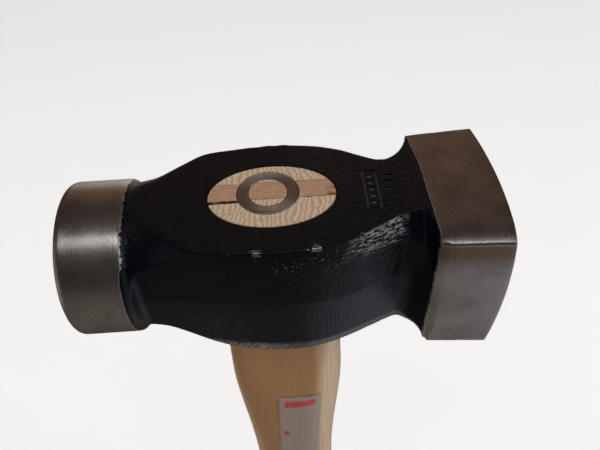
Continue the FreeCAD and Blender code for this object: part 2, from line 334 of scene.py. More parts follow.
def round_limit(x):
    """Radius of the round end, its collar and the neck that opens into the body."""
    start, radius = NECK[0]
    fillet = radius + (ROUND_RADIUS - radius) * hollow(-x, -start, -COLLAR_END_X)
    limit = np.where(x < start, fillet, neck_curve(x))
    limit = np.where(x < COLLAR_END_X, ROUND_RADIUS, limit)
    return np.where(x > NECK[-1][0], FREE, limit)


def section_limits(x, side):
    """Half-planes a|y| + b up <= c that bound one side of the section at x, as (a, b, c)."""
    block = (x >= side["shoulder"]) * 1.0
    beyond = np.maximum(x - SHOULDER_X, 0)
    hollowed = NECK_TOP_HOLLOW * hollow(-x, -NECK_TOP_X, -COLLAR_END_X) + FREE * (x < COLLAR_END_X)
    rise = TOP_RISE[0] * ease(x, TOP_RISE[1], BACK["shoulder"])
    top = AXIS_DROP + hollowed + rise + BLOCK_TOP_RISE * beyond
    rise = BOTTOM_RISE[0] * ease(x, BOTTOM_RISE[1], SHOULDER_X)
    bottom = HEAD_HEIGHT - AXIS_DROP + hollowed - rise + BLOCK_BOTTOM_FALL * beyond
    wall, plateau = wall_half(x, side), plateau_half(x, side)
    run = np.clip((wall - plateau) / BEVEL_DROP, *BEVEL_RUN)
    turn_out = LOW_BEVEL_TURN * hollow(x, side["wall_end"][0], side["shoulder"])
    swell = LOW_BEVEL_SWELL * belly(x, LOW_BELLY_X)
    low_bevel = wall + swell + LOW_BEVEL_RUN * LOW_BEVEL_DROP + turn_out
    one, none = np.ones_like(x), np.zeros_like(x)
    limits = [
        (none, one, top),
        (none, -one, bottom),
        (one, run, run * AXIS_DROP + plateau),
        (one, -LOW_BEVEL_RUN * one, low_bevel + FREE * block),
    ]
    for tilt, width in EDGE_BEVELS:
        across, up = math.sin(math.radians(tilt)), math.cos(math.radians(tilt))
        eased = across * (block_half(x) - width) + up * top
        limits.append((across * one, up * one, np.where(block * (side is FRONT), eased, FREE)))
    return limits


def section_radius(x, angle):
    """The section's radius, its ridges rounded off, and how near each point is to a ridge, 0 to 1.

    A share is 1 over the radius that a limit alone would give. Summed in a high power, the largest
    wins, and where two are close the ridge between them is rounded. There the limits' normals,
    weighed by the powers, average to less than 1.
    """
    across, up = np.abs(np.sin(angle)), np.cos(angle)
    at_front = np.sin(angle) < 0
    wide = 0 * x + 0 * angle
    body = np.where(at_front, x < FRONT["shoulder"], x < BACK["shoulder"])
    lower_lean = LOWER_LEAN[0] - LOWER_LEAN[1] * belly(x, LOW_BELLY_X)
    lean = np.where(up > 0, UPPER_LEAN, -lower_lean) * body
    walls = np.where(at_front, wall_half(x, FRONT), wall_half(x, BACK))
    fuller = NECK_SWELL * np.maximum(up, 0) * ease(x, COLLAR_END_X, NECK[0][0])
    shares = [1 / (round_limit(x) + fuller), (across + lean * up) / walls]
    normals = [(across + wide, up + wide), (1 + wide, wide)]
    for front, back in zip(section_limits(x, FRONT), section_limits(x, BACK)):
        a, b, c = (np.where(at_front, f, k) for f, k in zip(front, back))
        shares.append(np.maximum(0, a * across + b * up) / c)
        normals.append((a / np.hypot(a, b), b / np.hypot(a, b)))
    sharpness = np.where(x >= SHOULDER_X - SHARPER_BEFORE, BLOCK_SHARPNESS, BODY_SHARPNESS)
    powers = (np.array(shares) * AXIS_DROP) ** sharpness
    total = powers.sum(0)
    mean = (powers[:, None] * np.array(normals)).sum(0) / total
    ridge = (1 - np.hypot(*mean)) / (1 - math.cos(math.radians(FULL_RIDGE)))
    return AXIS_DROP * total ** (-1 / sharpness), np.clip(ridge, 0, 1)


# ---- mesh helpers
def mesh_object(name, points, faces):
    """A piece from points in millimetres from the plateau's middle."""
    mesh = bpy.data.meshes.new(name)
    placed = np.asarray(points, float) + (0, 0, TOP)
    mesh.from_pydata((placed * MM).tolist(), [], faces)
    mesh.update()
    piece = bpy.data.objects.new(name, mesh)
    bpy.context.scene.collection.objects.link(piece)
    shade(piece, METAL_CREASE)
    return piece


def shade(piece, crease):
    """Smooths the piece, except at edges sharper than crease degrees."""
    piece.data.shade_smooth()
    piece.data.set_sharp_from_angle(angle=math.radians(crease))


def tube_faces(rings, around):
    """Quads between rings of points, closed around, with both ends capped."""
    ids = np.arange(rings * around).reshape(rings, around)
    ahead = np.roll(ids, -1, axis=1)
    quads = np.stack([ids[:-1], ahead[:-1], ahead[1:], ids[1:]], -1).reshape(-1, 4)
    return quads.tolist() + [ids[0][::-1].tolist(), ids[-1].tolist()]


def combine(piece, other, operation):
    """Cuts other's solid out of piece, or trims piece to it, and deletes other."""
    step = piece.modifiers.new("combine", "BOOLEAN")
    step.operation = operation
    step.solver = "EXACT"
    step.object = other
    bpy.context.view_layer.objects.active = piece
    bpy.ops.object.modifier_apply(modifier=step.name)
    bpy.data.objects.remove(other)


def circle(around):
    """The angles of a circle's points."""
    return np.linspace(0, 2 * math.pi, around, endpoint=False)


def oval(drop, half_x, half_y, around, middle=(0, 0)):
    """Points round a level ellipse."""
    angle = circle(around)
    x, y = middle[0] + half_x * np.cos(angle), middle[1] + half_y * np.sin(angle)
    return np.stack([x, y, np.full(around, -drop)], -1)


def oval_solid(name, rows, around):
    """A closed solid from (drop, half x, half y) rows, from the bottom up."""
    points = np.concatenate([oval(*row, around) for row in rows])
    return mesh_object(name, points, tube_faces(len(rows), around))


def prism(outline, low, high):
    """Points and faces of an upright prism on an (x, y) outline."""
    count = len(outline)
    points = [(x, y, z) for z in (low, high) for x, y in outline]
    return points, tube_faces(2, count)


def join_solids(name, solids):
    """One object from several separate closed solids, each as points and faces."""
    points, faces = [], []
    for more_points, more_faces in solids:
        faces += [[len(points) + i for i in face] for face in more_faces]
        points += list(more_points)
    return mesh_object(name, points, faces)


def value_noise(points, size, seed):
    """Smooth noise at each point, from -1 to 1, with features of about size millimetres."""
    shift = Vector((17.3, 5.1, 9.7)) * seed
    return np.array([noise.noise(Vector(p) / size + shift) for p in points])


def take_place_of(piece, node):
    """Puts the piece in the place of a CAD part, on the hammer's one body."""
    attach(piece, "root")
    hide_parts(node)


# ---- head mesh
def section_angles():
    """Angles round the section, closer together where its ridges are."""
    even = np.linspace(0, 2 * math.pi, TRIED_ANGLES)
    fold = np.degrees(np.minimum(even, 2 * math.pi - even))
    density = 1 + sum(more * bell(fold, middle, spread) for middle, spread, more in RIDGE_ANGLES)
    travelled = np.concatenate([[0], np.cumsum((density[1:] + density[:-1]) / 2)])
    wanted = np.linspace(0, travelled[-1], ANGLES, endpoint=False)
    return np.interp(wanted, travelled, even)


def body_stations(angle):
    """Places along the head, closer together where the section changes fast."""
    x = np.linspace(ROUND_FACE_X + RIM_ROUNDING, SHOULDER_X - AT_SHOULDER, TRIED_STATIONS)
    radius, _ = section_radius(x[:, None], angle[None, ::TRIED_EVERY])
    change = np.abs(np.diff(radius, axis=0)).max(1)
    step = np.hypot(np.diff(x), np.minimum(change, MOST_CHANGE))
    travelled = np.concatenate([[0], np.cumsum(step)])
    return np.interp(np.linspace(0, travelled[-1], BODY_STATIONS), travelled, x)


def round_face(angle):
    """Rings of (x, radius) from the middle of the domed face to the end of its rounded rim."""
    share = np.linspace(FACE_MIDDLE, 1, FACE_RINGS, endpoint=False)[:, None]
    dome_x = ROUND_FACE_X - ROUND_DOME * (1 - share**2)
    dome = (ROUND_RADIUS - RIM_ROUNDING) * share
    turn = np.radians(np.linspace(0, 90, RIM_RINGS, endpoint=False))[:, None]
    rim_x = ROUND_FACE_X + RIM_ROUNDING * (1 - np.cos(turn))
    rim = ROUND_RADIUS - RIM_ROUNDING * (1 - np.sin(turn))
    wide = np.ones_like(angle)
    return np.concatenate([dome_x, rim_x]) * wide, np.concatenate([dome, rim]) * wide


def block_face(angle):
    """Rings of (x, radius) from the shoulder to the middle of the crowned face."""
    centre_up = AXIS_DROP - HEAD_HEIGHT / 2
    corner = math.hypot(block_half(BLOCK_CORNER_X), HEAD_HEIGHT / 2)
    sphere_x = BLOCK_CORNER_X - math.sqrt(CROWN_RADIUS**2 - corner**2)

    def crown(r):
        from_middle = (r * np.sin(angle)) ** 2 + (r * np.cos(angle) - centre_up) ** 2
        return sphere_x + np.sqrt(CROWN_RADIUS**2 - from_middle)

    corner_x = np.array([[BLOCK_CORNER_X]]) + 0 * angle
    outline, _ = section_radius(corner_x, angle)
    share = np.linspace(0, 1, BLOCK_RINGS + 1)[1:, None]
    wall_x = SHOULDER_X + AT_SHOULDER + share * (crown(outline) - BLOCK_EDGE_ROUNDING - SHOULDER_X)
    wall, _ = section_radius(wall_x, angle)
    outline = wall[-1:]
    turn = np.radians(np.linspace(0, 90, EDGE_RINGS + 1))[1:, None]
    edge = outline - BLOCK_EDGE_ROUNDING * (1 - np.cos(turn))
    edge_x = crown(edge) - BLOCK_EDGE_ROUNDING * (1 - np.sin(turn))
    share = np.linspace(1, FACE_MIDDLE, FACE_RINGS)[1:, None]
    face = (outline - BLOCK_EDGE_ROUNDING) * share
    return np.concatenate([wall_x, edge_x, crown(face)]), np.concatenate([wall, edge, face])


def soften(rows):
    """Rounds the edges that run round the section, by averaging along the head."""
    for _ in range(SOFTENING_PASSES):
        rows[1:-1] = (rows[:-2] + 2 * rows[1:-1] + rows[2:]) / 4
    return rows


def forged_skin(x, radius, ridge, angle, place):
    """How far the black body's skin stands off its ideal shape, in millimetres."""
    painted = 1 - ease(x, BLOCK_PAINT_X - 2.5, BLOCK_PAINT_X)
    body = ease(x, ROUND_PAINT_X - 0.6, ROUND_PAINT_X + 1.5) * painted
    drop = AXIS_DROP - radius * np.cos(angle)
    ground = ease(drop, PARTING_DROP - 0.3, PARTING_DROP + 0.5)
    flat = 1 - ease(drop, 0.2, 1.2)
    rough = body * (1 - SMOOTH_SHARE * ground) * (1 - SMOOTH_SHARE * flat)
    points = place(radius)
    swell, dents, grit = (value_noise(points, size, size).reshape(x.shape) for size in SKIN_NOISES)
    away, spread, rougher = COLLAR_GRIT
    fine = GRIT_DEPTH * grit * (1 + rougher * bell(x, COLLAR_END_X + away, spread)) + DENT_DEPTH * dents
    places = [
        (TORN_RIDGE, ease(ridge, 0.0, 0.4)),
        (TORN_FACET, ease(drop, 0.3, 1.5) * (1 - ease(drop, 5, 9))),
        (BURRS, ease(ridge, 0.1, 0.5) * (np.sin(angle) > 0)),
    ]
    torn = sum(depth * bell(x, middle, spread) * where for (middle, spread, depth), where in places)
    return rough * (SWELL_DEPTH * swell + fine) + body * torn * dents


def head_mesh():
    """The head before the eye and the mark are cut, with how near each point is to a ridge."""
    angle = section_angles()[None, :]
    body_x = body_stations(angle[0])[:, None] + 0 * angle
    body, ridge = section_radius(body_x, angle)
    body_x, body = soften(body_x), soften(body)
    front_x, front = round_face(angle)
    back_x, back = block_face(angle)
    x = np.concatenate([front_x, body_x, back_x])
    radius = np.concatenate([front, body, back])
    ridge = np.concatenate([0 * front, ridge, 0 * back])

    def place(radius):
        y, up = radius * np.sin(angle), radius * np.cos(angle)
        return np.stack([x, y, up - AXIS_DROP], -1).reshape(-1, 3)

    radius = radius + forged_skin(x, radius, ridge, angle, place)
    head = mesh_object("hammer_head_forging", place(radius), tube_faces(len(x), ANGLES))
    ridges = head.data.attributes.new("ridge", "FLOAT", "POINT")
    ridges.data.foreach_set("value", ridge.reshape(-1).astype(np.float32))
    return head


def eye_cutter():
    """The eye, a hair wider than the tenon, with a broken edge at the plateau."""
    return oval_solid("eye_cutter", [(drop, EYE_X + more, EYE_Y + more) for drop, more in EYE], EYE_SIDES)


def clipped_frame(half_x, half_y, corner):
    """An (x, y) rectangle about the origin with its corners cut off."""
    inner_x, inner_y = half_x - corner, half_y - corner
    return [
        (half_x, -inner_y), (half_x, inner_y), (inner_x, half_y), (-inner_x, half_y),
        (-half_x, inner_y), (-half_x, -inner_y), (-inner_x, -half_y), (inner_x, -half_y),
    ]


def mark_cutter():
    """A plain stamped mark: a frame with a row of dots in it, and a row of short bars beside it."""
    low, high = -MARK_DEPTH, CUT_ABOVE
    half_x, half_y = BAR_HALVES
    corners = ((half_x, -half_y), (half_x, half_y), (-half_x, half_y), (-half_x, -half_y))
    solids = []
    for i in range(MARK_COUNT):
        y = MARK_PITCH * (i - (MARK_COUNT - 1) / 2)
        dot = [(MARK_X + DOT_RADIUS * math.cos(a), y + DOT_RADIUS * math.sin(a)) for a in circle(DOT_SIDES)]
        bar = [(MARK_BAR_X + x, y + side) for x, side in corners]
        solids += [prism(dot, low, high), prism(bar, low, high)]
    outer, inner = ([(MARK_X + x, y) for x, y in clipped_frame(*sizes)] for sizes in MARK_FRAME)
    count = len(outer)
    points = [(x, y, z) for z in (low, high) for loop in (outer, inner) for x, y in loop]
    ids = np.arange(4 * count).reshape(4, count)
    faces = []
    for a, b in ((0, 1), (1, 3), (3, 2), (2, 0)):
        ahead = [np.roll(ids[row], -1) for row in (a, b)]
        faces += np.stack([ids[b], ahead[1], ahead[0], ids[a]], -1).tolist()
    solids.append((points, faces))
    return join_solids("mark_cutter", solids)


# ---- handle and wedges
handle_half_x, handle_half_y, handle_exponent = (
    through([(row[0], row[column]) for row in HANDLE]) for column in (1, 2, 3)
)


def handle_flat(drop):
    """Depth of the flats planed on the handle's front and back."""
    return FLAT_DEPTH + FLAT_FADE[0] * ease(drop, *FLAT_FADE[1:])


def handle_ring(drop, inset):
    """Points round the handle at a drop, drawn in by inset."""
    angle = circle(HANDLE_AROUND)
    across, along = np.abs(np.sin(angle)), np.abs(np.cos(angle))
    half_x, half_y = handle_half_x(drop) - inset, handle_half_y(drop) - inset
    power = handle_exponent(drop)
    oval_share = ((along / half_x) ** power + (across / half_y) ** power) ** (1 / power)
    flat_share = across / (handle_flat(drop) - inset)
    reach = (oval_share**FLAT_SHARPNESS + flat_share**FLAT_SHARPNESS) ** (-1 / FLAT_SHARPNESS)
    return np.stack([reach * np.cos(angle), reach * np.sin(angle), np.full(HANDLE_AROUND, -drop)], -1)


def handle_mesh():
    """The handle from its rounded butt up to the head, and the tenon that fills the eye."""
    end = HANDLE[-1][0]
    turns = np.radians(np.linspace(0, 90, BUTT_RINGS))
    rows = [(end - BUTT_ROUNDING * (1 - math.cos(t)), BUTT_ROUNDING * (1 - math.sin(t))) for t in turns]
    drops = np.linspace(end - BUTT_ROUNDING, HEAD_HEIGHT + UNDER_HEAD, HANDLE_RINGS)[1:]
    rows += [(drop, 0.0) for drop in drops]
    rings = [handle_ring(*row) for row in rows]
    rings += [oval(*row, HANDLE_AROUND) for row in TENON]
    return mesh_object("ash_handle", np.concatenate(rings), tube_faces(len(rings), HANDLE_AROUND))


def wedge_slab(gap):
    """The wooden wedge before it is trimmed to the eye: it tapers down and its sides waver a little.

    With a gap it is the cutter of the tenon's kerf, which is wider, and wider still where it cracked.
    """
    corners = []
    middle, full, end, wider = CRACK
    small_start, small_full, small_wider = SMALL_CRACKS
    for x in np.linspace(-WEDGE_END, WEDGE_END, WEDGE_STATIONS):
        front, back = (WEDGE_WAVER * noise.noise(Vector((x / WEDGE_WAVES, row, 0))) for row in (0.5, 7.5))
        crack = gap * wider * (1 - ease(abs(x - middle), full, end))
        crack += gap * small_wider * ease(front, 0.0, 0.12) * ease(x, small_start, small_full)
        corners += [
            (x, WEDGE_Y - WEDGE_HALF + front - gap - crack, CUT_ABOVE),
            (x, WEDGE_Y - WEDGE_TIP - gap, -WEDGE_DEPTH - gap),
            (x, WEDGE_Y + WEDGE_TIP + gap, -WEDGE_DEPTH - gap),
            (x, WEDGE_Y + WEDGE_HALF + back + gap, CUT_ABOVE),
        ]
    return mesh_object("wedge_slab", corners, tube_faces(WEDGE_STATIONS, 4))


def wedge_mesh():
    """The wooden wedge, trimmed to the eye."""
    wedge = wedge_slab(0)
    wedge.name = "hardwood_wedge"
    combine(wedge, oval_solid("eye_plug", WEDGE_PLUG, EYE_SIDES), "INTERSECT")
    return wedge


def turned_ring(name, profile):
    """A ring turned about the ring wedge's axis from a closed (radius, drop) profile."""
    points = np.concatenate([oval(drop, r, r, RING_SIDES, RING_AT) for r, drop in profile])
    ids = np.arange(len(points)).reshape(-1, RING_SIDES)
    ahead = np.roll(ids, -1, axis=1)
    below, below_ahead = (np.roll(rows, -1, axis=0) for rows in (ids, ahead))
    faces = np.stack([ids, ahead, below_ahead, below], -1).reshape(-1, 4)
    return mesh_object(name, points, faces.tolist())


def ring_slot():
    """The ring's cut in the tenon and the wedge. It is a hair wider than the ring and open at the top."""
    inner, outer = RING_INNER - RING_GAPS["inside"], RING_OUTER + RING_GAPS["outside"]
    corners = [(inner, -CUT_ABOVE), (inner, RING_DEPTH), (outer, RING_DEPTH), (outer, -CUT_ABOVE)]
    return turned_ring("ring_slot", corners)


def ring_mesh():
    """The ring wedge, with a rounded top that has been turned and left with fine grooves."""
    middle, half = (RING_INNER + RING_OUTER) / 2, (RING_OUTER - RING_INNER) / 2
    end = RING_DEPTH - RING_GAPS["below"]
    profile = [(RING_INNER + RING_POINT, end), (RING_OUTER - RING_POINT, end)]
    for across in np.linspace(1, -1, RING_PLACES):
        drop = RING_CROWN[0] * abs(across) ** RING_CROWN[1] - RING_STANDS
        for depth, count in RING_GROOVES:
            drop += depth * (1 + math.cos(across * count * math.pi))
        profile.append((middle + half * across, drop))
    return turned_ring("steel_ring_wedge", profile)


def label_mesh():
    """The label, laid on the handle's front."""
    columns, rows = LABEL_GRID
    tilt = math.radians(LABEL_TILT)
    points = []
    for along in np.linspace(0, LABEL_LENGTH, rows):
        for across in np.linspace(-LABEL_WIDTH / 2, LABEL_WIDTH / 2, columns):
            x = LABEL_X + across * math.cos(tilt) + along * math.sin(tilt)
            drop = LABEL_TOP_DROP + along * math.cos(tilt) - across * math.sin(tilt)
            power, half_x = handle_exponent(drop), handle_half_x(drop)
            rounded = handle_half_y(drop) * (1 - (abs(x) / half_x) ** power) ** (1 / power)
            points.append((x, -min(rounded, handle_flat(drop)) - LABEL_LIFT, -drop))
    ids = np.arange(rows * columns).reshape(rows, columns)
    faces = np.stack([ids[:-1, :-1], ids[1:, :-1], ids[1:, 1:], ids[:-1, 1:]], -1).reshape(-1, 4)
    label = mesh_object("handle_label_film", points, faces.tolist())
    thickness = label.modifiers.new("thickness", "SOLIDIFY")
    thickness.thickness = LABEL_LIFT * MM
    thickness.offset = -1
    return label


# ---- materials
def feed(tree, socket, value):
    """Links the socket to a node's output, or sets it to a value."""
    if isinstance(value, bpy.types.NodeSocket):
        tree.links.new(value, socket)
    else:
        socket.default_value = value


def add_node(tree, kind, inputs=None, output=0, **settings):
    """Adds a shader node and gives one of its outputs."""
    made = tree.nodes.new("ShaderNode" + kind)
    for name, value in settings.items():
        setattr(made, name, value)
    for socket, value in (inputs or {}).items():
        feed(tree, made.inputs[socket], value)
    return made.outputs[output]


class Surface:
    """A material with one Principled shader. Its places are in millimetres from the plateau's middle."""

    def __init__(self, name, **fixed):
        self.material = bpy.data.materials.new(name)
        self.material.use_nodes = True
        self.tree = self.material.node_tree
        self.shader = self.tree.nodes["Principled BSDF"]
        coordinates = self.node("TexCoord", output="Object")
        scaled = {"Vector": coordinates, "Location": (0, 0, -TOP), "Scale": (1 / MM,) * 3}
        self.place = self.node("Mapping", scaled)
        axes = self.node("SeparateXYZ", {"Vector": self.place}).node.outputs
        self.x, self.y, self.up = axes
        self.feed(fixed)

    def feed(self, sockets):
        """Sets or links the shader's sockets, whose names have _ for a space."""
        for socket, value in sockets.items():
            feed(self.tree, self.shader.inputs[socket.replace("_", " ")], value)

    def node(self, kind, inputs=None, output=0, **settings):
        return add_node(self.tree, kind, inputs, output, **settings)

    def calc(self, operation, *values):
        return self.node("Math", dict(enumerate(values)), operation=operation)

    def times(self, *values):
        """The product of several values: of masks, the mask where all of them are."""
        product = values[0]
        for value in values[1:]:
            product = self.calc("MULTIPLY", product, value)
        return product

    def noise(self, size, detail=2.0, roughness=0.5):
        """Noise from 0 to 1 whose features are about size millimetres, one number or (x, y, z)."""
        size = size if isinstance(size, tuple) else (size,) * 3
        scaled = self.node("VectorMath", {0: self.place, 1: size}, operation="DIVIDE")
        kind = {"Vector": scaled, "Scale": 1.0, "Detail": detail, "Roughness": roughness}
        return self.node("TexNoise", kind)

    def fade(self, value, start, end):
        """0 before start, 1 after end, and smooth between them. start may be the larger."""
        limits = {"Value": value, "From Min": start, "From Max": end}
        return self.node("MapRange", limits, interpolation_type="SMOOTHSTEP")

    def spots(self, size, start, end, **kind):
        """Patches of about size millimetres, where a noise passes from start to end."""
        return self.fade(self.noise(size, **kind), start, end)

    def zone(self, limits):
        """1 in a zone and 0 outside, from its limits as (axis, where it is 0, where it is 1)."""
        axes = {"x": self.x, "y": self.y, "up": self.up}
        return self.times(*[self.fade(axes[axis], start, end) for axis, start, end in limits])

    def number(self, share, low, high):
        return self.node("Mix", {0: share, 2: low, 3: high}, data_type="FLOAT")

    def colour(self, share, low, high):
        return self.node("Mix", {0: share, 6: low, 7: high}, output=2, data_type="RGBA")

    def bump(self, height, depth):
        """A normal for height, 0 to 1, times depth millimetres."""
        return self.node("Bump", {"Height": height, "Distance": depth * MM, "Strength": 1.0})

    def dress(self, piece, **driven):
        """Links the driven sockets and puts the material on the piece."""
        self.feed(driven)
        piece.data.materials.clear()
        piece.data.materials.append(self.material)


def grey(value, warmth=0.0):
    """A grey, redder and less blue by the warmth."""
    return (value * (1 + warmth), value, value * (1 - warmth), 1)


# Zones of the head's finish, as limits: (axis, where the zone is 0, where it is 1).
UPPER_PART = [("up", -9.0, -4.5)]
BELOW_PARTING = [("up", -PARTING_DROP + 0.4, -PARTING_DROP - 0.6)]
TOP_FRONT_EDGE = [("up", -3.5, -2.5), ("y", -8.0, -9.0)]
UNDER_BLOCK_EDGE = [("up", -1.2, -1.6), ("up", -9.0, -4.0), ("y", -18.0, -19.0), ("x", 30.0, 36.0)]
BEFORE_BLOCK = [("x", 36.0, 31.0)]
# The underside edge, where grey scuffs are also a painted reflection of the light below.
UNDERSIDE_EDGE = [("up", -34.6, -36.6), ("x", 14.0, -8.0)]
# The lower ridges towards the block, where a bluish grey line is a painted reflection.
LOWER_LIP = [("up", -30.0, -32.0), ("x", 3.0, 9.0)]
# The upper front wall, where light grey specks are painted glints.
GLINT_SPECKED_WALL = [("up", -8.0, -5.0), ("up", -1.0, -2.0), ("x", -4.0, 4.0), ("x", 20.0, 14.0)]
DULL_PATCH = [("up", -22.0, -27.0), ("x", -27.0, -19.0), ("x", -6.0, -12.0)]
# The torn lacquer beside the block, whose light grey crumples are partly painted glints.
TORN_GLINTING_PART = [("x", 15.0, 24.0), ("x", 33.0, 30.0), ("y", -6.0, -9.0), ("up", -7.0, -3.0), ("up", -0.1, -0.5)]
# Inside the stamped mark, where a lighter grey is a painted highlight.
IN_MARK = [("up", -0.1, -0.25), ("y", -8.5, -8.0), ("y", 8.5, 8.0), ("x", 22.4, 22.6), ("x", 31.4, 31.0)]
BLOCK_NECK = [("x", 33.0, 36.0), ("up", -11.0, -18.0)]
GROUND_TO_BLOCK = [("x", 4.0, 16.0)]
RIPPLED_TO_BLOCK = [("x", -4.0, 12.0)]
STREAKED_TO_BLOCK = [("x", 4.0, 9.0)]
BLOCK_BACK = [("y", 5.0, 20.0)]
EDGE_CHIPS = ((-4.0, 1.2), (9.5, 1.0))  # (x, half width) of the chips in the plateau's front edge

SKIN_DEPTH = 0.2  # of the lacquer's fine relief
GRINDING_DEPTH = 0.035

# The head's colours.
BLACK = (0.0008, 0.0020, 0.0045, 1)
DUSTY = (0.007, 0.006, 0.005, 1)
GROUND = (0.0045, 0.005, 0.0065, 1), (0.011, 0.012, 0.018, 1)  # to the left and to the right
# Grey scuffs that are partly a painted reflection along the underside edge.
SCUFFS_AND_REFLECTION = (0.21, 0.205, 0.20, 1)
# A painted reflection along the lower ridges.
LIP_REFLECTION = (0.075, 0.08, 0.095, 1)
# Torn lacquer: a light grey that is partly painted glints off the right-hand light.
TORN_LACQUER_AND_GLINTS = (0.42, 0.42, 0.44, 1)
# A painted highlight in the stamped mark.
PAINTED_STAMP_HIGHLIGHT = (0.075, 0.075, 0.078, 1)
SHADED_STEEL = (0.29, 0.215, 0.165, 1)


def bare_steel(m, ridge):
    """Mask of the head's bare steel: both ends, worn ridges, and chips in the plateau's front edge."""
    ragged = m.noise(1.4, detail=4, roughness=0.7)
    off_middle = m.calc("SUBTRACT", ragged, 0.5)
    high = m.zone(UPPER_PART)
    wandering = m.times(off_middle, m.number(high, 0.5, 2.4))
    from_round = m.calc("ADD", m.calc("ADD", m.x, wandering), m.number(high, 0.8, 0.0))
    bowed = m.calc("MULTIPLY_ADD", m.zone(BLOCK_BACK), 1.1, m.x)
    from_block = m.calc("MULTIPLY_ADD", ragged, 0.5, bowed)
    on_round = m.fade(from_round, ROUND_PAINT_X + 0.15, ROUND_PAINT_X - 0.15)
    on_block = m.fade(from_block, BLOCK_PAINT_X + 0.1, BLOCK_PAINT_X + 0.4)
    worn = m.times(m.fade(ridge, 0.35, 0.7), m.spots(3.6, 0.63, 0.66, detail=6, roughness=0.65))
    at_edge = m.zone(TOP_FRONT_EDGE)
    for middle, half in EDGE_CHIPS:
        apart = m.calc("ABSOLUTE", m.calc("SUBTRACT", m.x, middle))
        near = m.fade(m.calc("MULTIPLY_ADD", off_middle, 4.5, apart), half, half - 0.3)
        crest = m.fade(m.calc("MULTIPLY_ADD", off_middle, 0.6, ridge), 0.06, 0.14)
        worn = m.calc("MAXIMUM", worn, m.times(near, at_edge, crest))
    return m.calc("MAXIMUM", m.calc("MAXIMUM", on_round, on_block), worn)


def steel_colour(m):
    """Blotched and speckled steel, with a warm shade under the block's top front edge."""
    blotched = m.colour(m.spots(9.0, 0.3, 0.7, detail=3), grey(0.36, 0.07), grey(0.52, 0.04))
    speckled = m.colour(m.spots(0.5, 0.60, 0.70), blotched, grey(0.66, 0.02))
    return m.colour(m.zone(UNDER_BLOCK_EDGE), speckled, SHADED_STEEL)


def lacquer_colour(m, masks):
    """Black, dusty on the plateau and greyer below the parting. Its scuffs on the underside edge and a line
    on the low ridges are partly painted reflection, its specks painted glints, its torn lacquer partly
    painted glints, and its mark a painted highlight.
    """
    dust = m.spots((3.5, 0.45, 3.0), 0.36, 0.64, detail=4, roughness=0.65)
    black = m.colour(m.times(masks["upward"], dust), BLACK, DUSTY)
    ground = m.colour(m.zone(GROUND_TO_BLOCK), *GROUND)
    # Light grey specks on the black: painted glints.
    painted_glints = m.spots(0.6, 0.64, 0.70)
    layers = [
        (m.times(masks["low"], m.zone(BEFORE_BLOCK)), ground),
        # scuffs that are partly a painted reflection of the light below
        (m.times(m.zone(UNDERSIDE_EDGE), m.fade(masks["scuffs"], 0.38, 0.58)), SCUFFS_AND_REFLECTION),
        # a painted reflection along the lower ridges
        (m.times(m.zone(LOWER_LIP), m.fade(masks["ridge"], 0.01, 0.06)), LIP_REFLECTION),
        (m.times(m.zone(GLINT_SPECKED_WALL), painted_glints), grey(0.12)),
        (m.times(m.zone(DULL_PATCH), m.fade(masks["scuffs"], 0.5, 0.66)), grey(0.036)),
        # torn lacquer, its light grey partly painted glints
        (m.times(masks["torn"], m.fade(masks["folds"], 0.46, 0.60)), TORN_LACQUER_AND_GLINTS),
        # a painted highlight in the stamped mark
        (m.times(m.zone(IN_MARK), masks["upward"]), PAINTED_STAMP_HIGHLIGHT),
    ]
    for mask, colour in layers:
        black = m.colour(mask, black, colour)
    return black


def lacquer_height(m, masks):
    """The lacquer's fine relief: brushed, then wrinkled, folded where torn, and streaked where ground."""
    wrinkle = m.noise(1.0, detail=3, roughness=0.6)
    streaks = m.noise((0.45, 5.0, 9.0), detail=3, roughness=0.6)
    brushed = m.noise((8.0, 8.0, 0.5), detail=3, roughness=0.6)
    rippled = m.number(m.zone(RIPPLED_TO_BLOCK), m.times(brushed, 0.4), m.times(wrinkle, 1.5))
    lumpy = m.number(masks["torn"], rippled, m.times(masks["folds"], 4.5))
    streaked = m.times(streaks, m.number(m.zone(STREAKED_TO_BLOCK), 0.38, 1.3))
    return m.number(masks["low"], lumpy, streaked)


def lacquer_roughness(m, masks):
    """Glossy, duller where scuffed or on the plateau, and dull in the neck beside the block."""
    glossy = m.number(masks["scuffs"], 0.18, 0.36)
    untorn = m.number(masks["upward"], glossy, 0.42)
    return m.number(m.zone(BLOCK_NECK), m.number(masks["torn"], untorn, 0.2), 0.85)


def head_material(head):
    """Black lacquer over the forged body, and bare ground steel at both ends."""
    m = Surface("lacquered_steel", Specular_IOR_Level=0.24)
    normal = m.node("SeparateXYZ", {"Vector": m.node("NewGeometry", output="Normal")}).node.outputs
    masks = {
        "ridge": m.node("Attribute", output="Fac", attribute_name="ridge"),
        "upward": m.fade(normal["Z"], 0.75, 0.95),
        "low": m.zone(BELOW_PARTING),
        "torn": m.zone(TORN_GLINTING_PART),
        "scuffs": m.noise(0.8, detail=5, roughness=0.75),
        "folds": m.noise((2.0, 2.0, 0.6), detail=6, roughness=0.8),
    }
    steel = bare_steel(m, masks["ridge"])
    lines = m.noise((0.16, 6.0, 6.0), detail=3, roughness=0.7)  # ground round the head
    broad_lines = m.noise((1.2, 14.0, 14.0))
    skin = m.bump(lacquer_height(m, masks), SKIN_DEPTH)
    grinding = m.bump(m.number(0.35, lines, broad_lines), GRINDING_DEPTH)
    m.dress(
        head,
        Base_Color=m.colour(steel, lacquer_colour(m, masks), steel_colour(m)),
        Metallic=steel,
        Roughness=m.number(steel, lacquer_roughness(m, masks), m.number(lines, 0.2, 0.38)),
        Normal=m.node("Mix", {0: steel, 4: skin, 5: grinding}, output=1, data_type="VECTOR"),
    )


